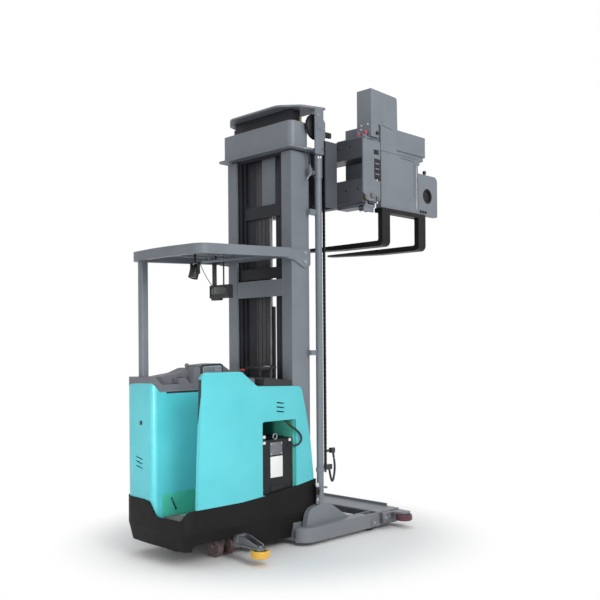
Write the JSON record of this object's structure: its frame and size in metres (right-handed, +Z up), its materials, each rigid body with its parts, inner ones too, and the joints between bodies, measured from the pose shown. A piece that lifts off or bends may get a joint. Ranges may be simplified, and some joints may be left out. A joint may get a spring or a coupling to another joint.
{
  "type": "stand-on turret truck",
  "caption": "Stand-on narrow-aisle turret truck with a triple mast, a traversing head and forks that turn to either side.",
  "frame": {"origin": "on the floor, in the middle of the length and width of the truck", "axes": "+X the way the legs and mast point, +Y the left side of the truck, +Z up"},
  "size_m": [2.51, 1.54, 3.605],
  "materials": {
    "mast_grey": "semi-gloss enamel on welded steel",
    "stage_grey": "dark enamel, greased running faces",
    "body_aqua": "gloss powder coat on sheet steel",
    "skirt_black": "textured black enamel on steel plate",
    "console_charcoal": "moulded grained plastic",
    "beam_charcoal": "dark enamel on machined beams",
    "fork_black": "black forged steel",
    "bright_rod": "hard chrome",
    "battery_case": "black steel tray, heavy block",
    "motor_dark": "black motor, heavy block",
    "floor_rubber": "ribbed rubber mat",
    "tread_brown": "polyurethane tread",
    "tread_black": "polyurethane tread",
    "roller_yellow": "yellow polyurethane roller",
    "roller_red": "reddish polyurethane roller",
    "chain_steel": "oiled leaf chain and rubber hose",
    "lamp_black": "black housing",
    "fork_steel": "cast grey steel",
    "cable_black": "black battery cable"
  },
  "bodies": {
    "chassis": {"battery": "battery_case", "battery_cable": "cable_black", "chassis_frame": "skirt_black", "console": "console_charcoal", "drive_motor": "motor_dark", "equipment_box": "lamp_black", "floor_mat": "floor_rubber", "front_beam": "mast_grey", "guard_post": "mast_grey", "guard_roof": "mast_grey", "hood_cover": "skirt_black", "leg_left": "mast_grey", "leg_right": "mast_grey", "lift_cylinder_left": "mast_grey", "lift_cylinder_right": "mast_grey", "mast_ties": "mast_grey", "mast_upright_left": "mast_grey", "mast_upright_right": "mast_grey", "rear_cover": "body_aqua", "roller_bracket_left": "fork_steel", "roller_bracket_right": "fork_steel", "side_panel_left": "body_aqua", "side_panel_right": "body_aqua", "skirt": "skirt_black", "work_light": "lamp_black"},
    "mast_stage_2": {"stage2_channel_left": "stage_grey", "stage2_channel_right": "stage_grey", "stage2_ties": "stage_grey", "stage2_top": "mast_grey", "lift_rods": "bright_rod"},
    "mast_stage_3": {"stage3_channel_left": "stage_grey", "stage3_channel_right": "stage_grey", "stage3_ties": "stage_grey", "stage3_top": "mast_grey", "free_lift_cylinder": "stage_grey", "lift_lines_left": "chain_steel", "lift_lines_right": "chain_steel"},
    "free_lift": {"free_lift_ram": "bright_rod"},
    "carriage": {"carriage_frame": "mast_grey", "traverse_beam_upper": "beam_charcoal", "traverse_beam_lower": "beam_charcoal", "end_plates": "mast_grey"},
    "traverse_head": {"head_frame": "mast_grey", "head_cover": "mast_grey"},
    "turret": {"swing_frame": "mast_grey", "fork_plate": "mast_grey", "guide_rod": "bright_rod", "fork_rear": "fork_black", "fork_front": "fork_black", "fork_bar": "fork_black"},
    "drive_steering": {"drive_fork": "fork_steel"},
    "drive_wheel": {"drive_wheel": "tread_black"},
    "caster": {"caster_fork": "fork_steel"},
    "caster_wheels": {"caster_wheels": "tread_brown"},
    "load_wheel_left": {"load_wheel_left": "tread_black"},
    "load_wheel_right": {"load_wheel_right": "tread_black"},
    "guide_roller_rear_left": {"guide_roller_rear_left": "roller_yellow"},
    "guide_roller_rear_right": {"guide_roller_rear_right": "roller_yellow"},
    "guide_roller_front_left": {"guide_roller_front_left": "roller_red"},
    "guide_roller_front_right": {"guide_roller_front_right": "roller_red"}
  },
  "joints": [
    {"name": "mast_lift", "type": "slide", "parent": "chassis", "child": "mast_stage_2", "axis": [0, 0, 1], "range_m": [0, 2.2]},
    {"name": "mast_lift_upper", "type": "slide", "parent": "mast_stage_2", "child": "mast_stage_3", "axis": [0, 0, 1], "range_m": [0, 2.2]},
    {"name": "carriage_lift", "type": "slide", "parent": "mast_stage_3", "child": "carriage", "axis": [0, 0, 1], "range_m": [-2.18, 0]},
    {"name": "free_lift_rod", "type": "slide", "parent": "mast_stage_3", "child": "free_lift", "axis": [0, 0, 1], "range_m": [-1.09, 0]},
    {"name": "traverse", "type": "slide", "parent": "carriage", "child": "traverse_head", "axis": [0, 1, 0], "range_m": [0, 1.176]},
    {"name": "turret_swing", "type": "hinge", "parent": "traverse_head", "child": "turret", "pos_m": [0.868, -0.64, 2.9], "axis": [0, 0, 1], "range_deg": [-180, 0]},
    {"name": "drive_steer", "type": "hinge", "parent": "chassis", "child": "drive_steering", "pos_m": [-0.9, 0.15, 0.2], "axis": [0, 0, 1], "range_deg": [-90, 90]},
    {"name": "drive_roll", "type": "hinge", "parent": "drive_steering", "child": "drive_wheel", "pos_m": [-0.9, 0.15, 0.16], "axis": [0, 1, 0], "continuous": true},
    {"name": "caster_swivel", "type": "hinge", "parent": "chassis", "child": "caster", "pos_m": [-0.771, -0.18, 0.25], "axis": [0, 0, 1], "continuous": true},
    {"name": "caster_roll", "type": "hinge", "parent": "caster", "child": "caster_wheels", "pos_m": [-0.771, -0.208, 0.076], "axis": [1, 0, 0], "continuous": true},
    {"name": "load_roll_left", "type": "hinge", "parent": "chassis", "child": "load_wheel_left", "pos_m": [0.62, 0.47, 0.068], "axis": [0, 1, 0], "continuous": true},
    {"name": "guide_roll_rear_left", "type": "hinge", "parent": "chassis", "child": "guide_roller_rear_left", "pos_m": [-0.762, 0.628, 0.082], "axis": [0, 0, 1], "continuous": true},
    {"name": "guide_roll_front_left", "type": "hinge", "parent": "chassis", "child": "guide_roller_front_left", "pos_m": [0.905, 0.628, 0.088], "axis": [0, 0, 1], "continuous": true},
    {"name": "load_roll_right", "type": "hinge", "parent": "chassis", "child": "load_wheel_right", "pos_m": [0.62, -0.47, 0.068], "axis": [0, 1, 0], "continuous": true},
    {"name": "guide_roll_rear_right", "type": "hinge", "parent": "chassis", "child": "guide_roller_rear_right", "pos_m": [-0.762, -0.628, 0.082], "axis": [0, 0, 1], "continuous": true},
    {"name": "guide_roll_front_right", "type": "hinge", "parent": "chassis", "child": "guide_roller_front_right", "pos_m": [0.905, -0.628, 0.088], "axis": [0, 0, 1], "continuous": true}
  ],
  "couplings": [
    {"joint": "mast_lift_upper", "follows": "mast_lift", "ratio": 1},
    {"joint": "free_lift_rod", "follows": "carriage_lift", "ratio": 0.5}
  ]
}
